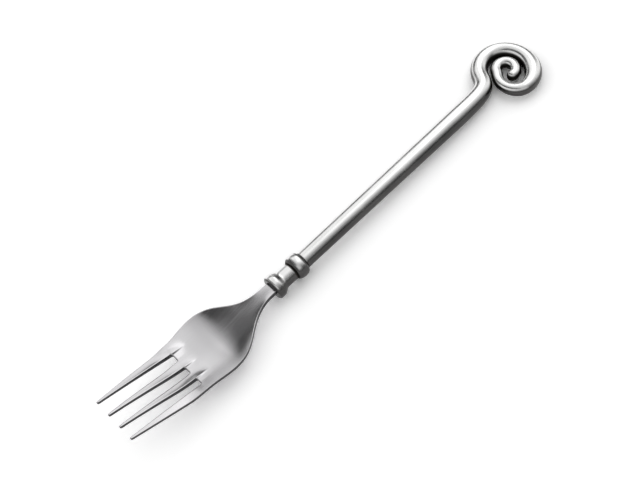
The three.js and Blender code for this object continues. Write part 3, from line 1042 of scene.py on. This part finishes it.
FLAGS = (
    ("flag_over_head", (-0.18, 0.237, 0.445), (-28, 0, -9), 0.4, 1.8),
    ("flag_behind", (0.25, 0.4, 0.12), (90, 0, 0), 0.56, 0.26),
    ("flag_on_right", (0.44, 0.24, 0.12), (90, 0, 70), 0.6, 0.26),
)
FLAG_COLOUR = (0.04, 0.04, 0.04, 1)
FLAG_SOFT_RANGE = (0.22, 0.5)


def black_card():
    """Black in the middle and clearer towards the edges, which lie at 0.5 in the card's own units."""
    finish, tree, shader = start_finish("black_card")
    shader.inputs["Base Color"].default_value = FLAG_COLOUR
    shader.inputs["Roughness"].default_value = 1
    shader.inputs["Specular IOR Level"].default_value = 0
    parts = split_axes(tree, "Object")
    cover = []
    for axis in ("X", "Y"):
        off_middle = worked_out(tree, "ABSOLUTE", parts[axis])
        cover.append(value_range(tree, off_middle, 1, 0, *FLAG_SOFT_RANGE))
    tree.links.new(times(tree, *cover), shader.inputs["Alpha"])
    return finish


def add_flag(name, place, turn, width, height, finish):
    """A card that only the metal mirrors."""
    deselect()
    bpy.ops.mesh.primitive_plane_add(size=1, location=place, rotation=[math.radians(v) for v in turn])
    flag = bpy.context.object
    flag.name = name
    flag.scale = (width, height, 1)
    flag.visible_camera = False
    flag.visible_diffuse = False
    flag.visible_shadow = False
    flag.data.materials.append(finish)


# Lamps: name, place in metres, size, power in watts; each is aimed at the middle of the table

LAMPS = (
    ("back_right_softbox", (0.9, 0.5, 0.66), 0.8, 1.1),
    ("top_softbox", (0.5, 0, 0.95), 0.5, 0.3),
)


def add_lamp(name, place, size, power):
    aim = (Vector((0, 0, 0)) - Vector(place)).to_track_quat("-Z", "Y")
    bpy.ops.object.light_add(type="AREA", location=place, rotation=aim.to_euler())
    lamp = bpy.context.object
    lamp.name = name
    lamp.data.shape = "SQUARE"
    lamp.data.size = size
    lamp.data.energy = power


# The room's brightness by direction: from, to, and the stretch of the axis over which it changes

RIGHT_SIDE = (0, 1, 0.1, 0.38)
RIGHT_BY_HEIGHT = (0.95, 1.08, 0.3, 0.8)
LEFT_BY_DEPTH = (0.8, 1.08, -0.1, 0.95)
LEFT_BY_HEIGHT = (1, 0.84, 0.68, 0.96)
FRONT_BY_DEPTH = (0.11, 1, -0.96, -0.12)
FRONT_ON_LEFT = (0.7, 0, 0.05, 0.25)


def light_studio():
    """A soft white room that is dark in front on the right, with two lamps and the black cards."""
    world = bpy.data.worlds.new("studio")
    bpy.context.scene.world = world
    world.use_nodes = True
    tree = world.node_tree
    axes = split_axes(tree, "Generated")
    on_right = value_range(tree, axes["X"], *RIGHT_SIDE)
    on_left = value_range(tree, on_right, 1, 0)
    right_wall = value_range(tree, axes["Z"], *RIGHT_BY_HEIGHT)
    left_wall = times(
        tree, value_range(tree, axes["Y"], *LEFT_BY_DEPTH), value_range(tree, axes["Z"], *LEFT_BY_HEIGHT))
    walls = added(tree, times(tree, on_left, left_wall), times(tree, on_right, right_wall))
    dark_front = value_range(tree, axes["Y"], *FRONT_BY_DEPTH)
    pale_left = value_range(tree, axes["X"], *FRONT_ON_LEFT)
    front = worked_out(tree, "MAXIMUM", dark_front, pale_left)
    sky = tree.nodes["Background"]
    sky.inputs["Color"].default_value = (1, 1, 1, 1)
    tree.links.new(times(tree, walls, front), sky.inputs["Strength"])
    for lamp in LAMPS:
        add_lamp(*lamp)
    card = black_card()
    for flag in FLAGS:
        add_flag(*flag, card)


# The fork, its finishes and its stage

add_camera()
head = make_head()
ferrule = make_ferrule()
rear_bead = make_rear_bead()
handle = make_handle()
# How shut in each point is, for the grime and painted shade in crevices
mark_crevices((ferrule, rear_bead, handle))
# Painted shade on the flanks and the shoulders
mark_flanks(ferrule, DARK_COLLAR_FLANK, FERRULE_SHOULDERS)
mark_flanks(rear_bead, DARK_COLLAR_FLANK, BEAD_SHOULDERS)
mark_flanks(handle, DARK_HANDLE_FLANK)

lines_group = build_polishing_lines()
satin = satin_steel(lines_group)
polish = polished_metal(lines_group)
resin = set_resin(lines_group)

for piece, node, slot, finish in (
    (head, "fork_head", "satin_steel", satin),
    (ferrule, "ferrule", "polished_metal", polish),
    (rear_bead, "rear_bead", "polished_metal", polish),
    (handle, "handle", "polished_metal", polish),
):
    piece.data.materials.clear()
    piece.data.materials.append(finish)
    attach(piece, "root")
    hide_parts(node)

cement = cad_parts["tang_cement"]
cement.data.materials.clear()
cement.data.materials.append(resin)

add_floor()
light_studio()
bpy.context.scene.view_settings.view_transform = "Standard"
